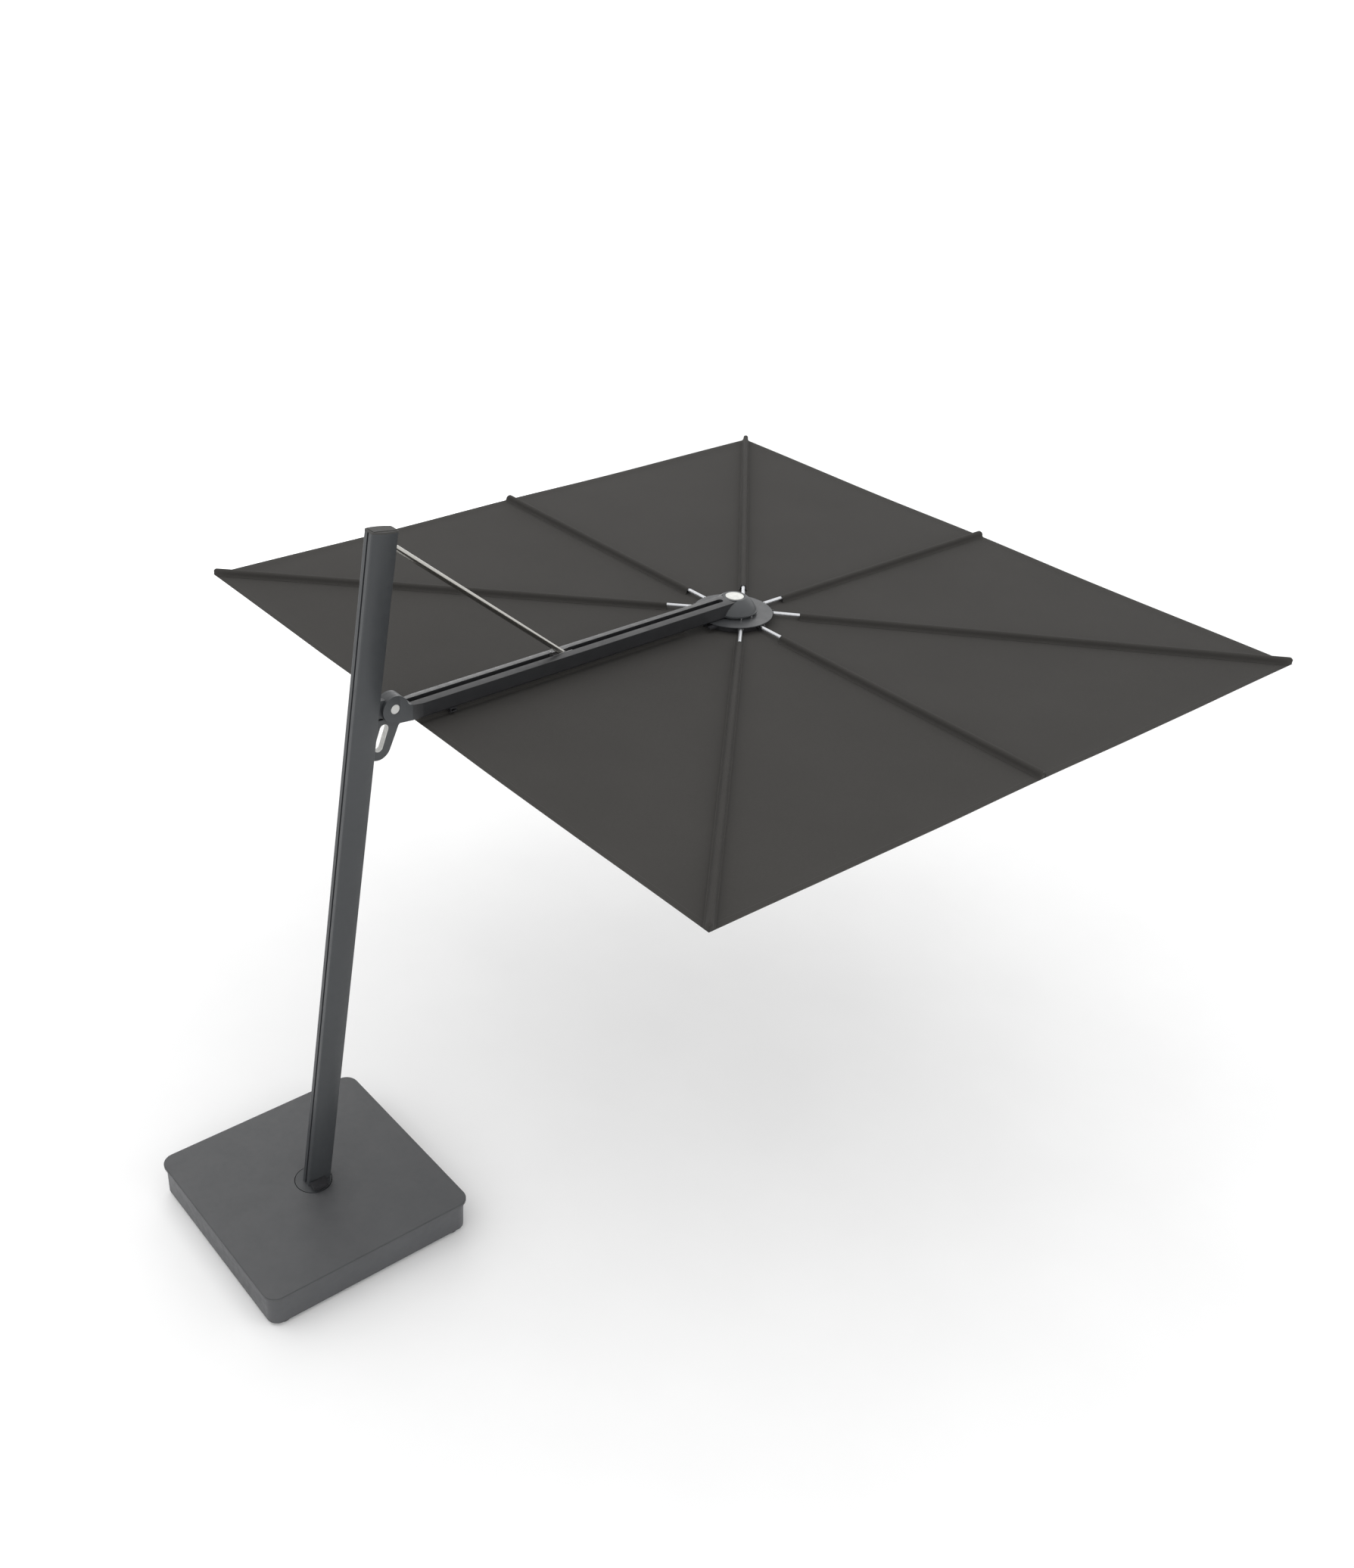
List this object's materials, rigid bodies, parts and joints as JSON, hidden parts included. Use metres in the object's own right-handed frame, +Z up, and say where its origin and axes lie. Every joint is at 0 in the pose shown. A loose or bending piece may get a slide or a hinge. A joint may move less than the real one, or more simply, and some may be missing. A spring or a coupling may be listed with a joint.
{
  "type": "cantilever parasol",
  "caption": "Cantilever parasol with a ballasted square base, leaning swivel mast, tilting boom held by a tie rod and a folding square canopy on ribs.",
  "frame": {"origin": "on the floor, on the swivel axis at the centre of the square base", "axes": "+Z up, +X from the mast towards the canopy along the boom, +Y to the left of the boom seen from the mast"},
  "size_m": [3.9773, 3.0006, 2.8328],
  "materials": {
    "lid": "fine-textured dark grey powder coat",
    "tray": "smooth grey powder coat",
    "slab": "plain concrete",
    "foot": "black rubber",
    "bearing": "machined iron",
    "steel_coat": "satin anthracite powder coat on steel plate",
    "frame_coat": "aluminium with a satin anthracite powder coat",
    "dark_plastic": "black moulded plastic",
    "steel": "brushed stainless steel",
    "nylon": "natural nylon",
    "light_cap": "light grey moulded plastic",
    "boom_coat": "aluminium with a dark satin powder coat",
    "silver_cap": "silver-grey plastic",
    "canopy_cloth": "woven charcoal awning cloth",
    "bright_steel": "polished stainless steel",
    "rib_metal": "clear-anodised aluminium",
    "sleeve_cloth": "woven charcoal awning cloth, sewn sleeve"
  },
  "bodies": {
    "base": {"base_lid": "lid", "base_tray": "tray", "ballast_slabs": "slab", "base_feet": "foot", "bearing_socket": "bearing"},
    "mast": {"turntable_plate": "steel_coat", "mast_foot": "bearing", "mast_post": "frame_coat", "mast_top_cap": "dark_plastic", "head_bracket": "steel"},
    "pedal": {"foot_pedal": "dark_plastic", "pedal_pin": "steel"},
    "carriage": {"carriage": "frame_coat", "glide_pads": "nylon"},
    "boom": {"knuckle_fork": "frame_coat", "handle_liner": "light_cap", "knuckle_pin": "light_cap", "boom_beam": "boom_coat", "boom_housing": "frame_coat", "hub_cap": "silver_cap", "housing_screws": "steel", "anchor_bracket": "steel", "boom_clip": "dark_plastic", "crown_disc": "steel_coat", "crown_body": "dark_plastic", "rib_pins": "steel", "canopy_patch": "canopy_cloth", "crown_button": "dark_plastic"},
    "tie": {"tie_rod": "bright_steel", "tie_ends": "steel", "tie_pins": "steel"},
    "rib_1": {"rib_1": "rib_metal", "sleeve_1": "sleeve_cloth", "panel_1": "canopy_cloth"},
    "rib_2": {"rib_2": "rib_metal", "sleeve_2": "sleeve_cloth", "panel_2": "canopy_cloth"},
    "rib_3": {"rib_3": "rib_metal", "sleeve_3": "sleeve_cloth", "panel_3": "canopy_cloth"},
    "rib_4": {"rib_4": "rib_metal", "sleeve_4": "sleeve_cloth", "panel_4": "canopy_cloth"},
    "rib_5": {"rib_5": "rib_metal", "sleeve_5": "sleeve_cloth", "panel_5": "canopy_cloth"},
    "rib_6": {"rib_6": "rib_metal", "sleeve_6": "sleeve_cloth", "panel_6": "canopy_cloth"},
    "rib_7": {"rib_7": "rib_metal", "sleeve_7": "sleeve_cloth", "panel_7": "canopy_cloth"},
    "rib_8": {"rib_8": "rib_metal", "sleeve_8": "sleeve_cloth", "panel_8": "canopy_cloth"}
  },
  "joints": [
    {"name": "mast_swivel", "type": "hinge", "parent": "base", "child": "mast", "pos_m": [0, 0, 0.165], "axis": [0, 0, 1], "continuous": true},
    {"name": "pedal_press", "type": "hinge", "parent": "mast", "child": "pedal", "pos_m": [0, -0.0405, 0.182], "axis": [1, 0, 0], "range_deg": [0, 8], "stiffness_Nm_per_rad": 8, "springref_deg": -2.86},
    {"name": "boom_tilt", "type": "hinge", "parent": "carriage", "child": "boom", "pos_m": [0.421, 0, 2.181], "axis": [0, -1, 0], "range_deg": [0, 25]},
    {"name": "carriage_slide", "type": "slide", "parent": "mast", "child": "carriage", "axis": [-0.1426, 0, -0.9898], "range_m": [0, 0.457]},
    {"name": "tie_swing", "type": "hinge", "parent": "boom", "child": "tie", "pos_m": [1.17, 0, 2.172], "axis": [0, 1, 0], "range_deg": [0, 36.5]},
    {"name": "rib_1_fold", "type": "hinge", "parent": "boom", "child": "rib_1", "pos_m": [2.1509, 0.07671, 2.1095], "axis": [-0.7202, 0.6938, 0], "range_deg": [0, 84.5], "deforming": ["panel_1"]},
    {"name": "rib_2_fold", "type": "hinge", "parent": "boom", "child": "rib_2", "pos_m": [2.029, 0.14984, 2.1095], "axis": [-1, 0, 0], "range_deg": [0, 84.5], "deforming": ["panel_2"]},
    {"name": "rib_3_fold", "type": "hinge", "parent": "boom", "child": "rib_3", "pos_m": [1.94411, 0.12819, 2.1095], "axis": [-0.6943, -0.7197, 0], "range_deg": [0, 84.5], "deforming": ["panel_3"]},
    {"name": "rib_4_fold", "type": "hinge", "parent": "boom", "child": "rib_4", "pos_m": [1.872, 0, 2.1095], "axis": [0, -1, 0], "range_deg": [0, 84.5], "deforming": ["panel_4"]},
    {"name": "rib_5_fold", "type": "hinge", "parent": "boom", "child": "rib_5", "pos_m": [1.94411, -0.12819, 2.1095], "axis": [0.6943, -0.7197, 0], "range_deg": [0, 84.5], "deforming": ["panel_5"]},
    {"name": "rib_6_fold", "type": "hinge", "parent": "boom", "child": "rib_6", "pos_m": [2.029, -0.14984, 2.1095], "axis": [1, 0, 0], "range_deg": [0, 84.5], "deforming": ["panel_6"]},
    {"name": "rib_7_fold", "type": "hinge", "parent": "boom", "child": "rib_7", "pos_m": [2.1509, -0.07671, 2.1095], "axis": [0.7202, 0.6938, 0], "range_deg": [0, 84.5], "deforming": ["panel_7"]},
    {"name": "rib_8_fold", "type": "hinge", "parent": "boom", "child": "rib_8", "pos_m": [2.172, 0, 2.1095], "axis": [0, 1, 0], "range_deg": [0, 84], "deforming": ["panel_8"]}
  ],
  "couplings": [
    {"joint": "carriage_slide", "follows": "boom_tilt", "m_per_rad": 1.0462},
    {"joint": "tie_swing", "follows": "boom_tilt", "ratio": 1.452},
    {"joint": "rib_1_fold", "follows": "rib_8_fold", "ratio": 1},
    {"joint": "rib_2_fold", "follows": "rib_8_fold", "ratio": 1},
    {"joint": "rib_3_fold", "follows": "rib_8_fold", "ratio": 1},
    {"joint": "rib_4_fold", "follows": "rib_8_fold", "ratio": 1},
    {"joint": "rib_5_fold", "follows": "rib_8_fold", "ratio": 1},
    {"joint": "rib_6_fold", "follows": "rib_8_fold", "ratio": 1},
    {"joint": "rib_7_fold", "follows": "rib_8_fold", "ratio": 1}
  ]
}
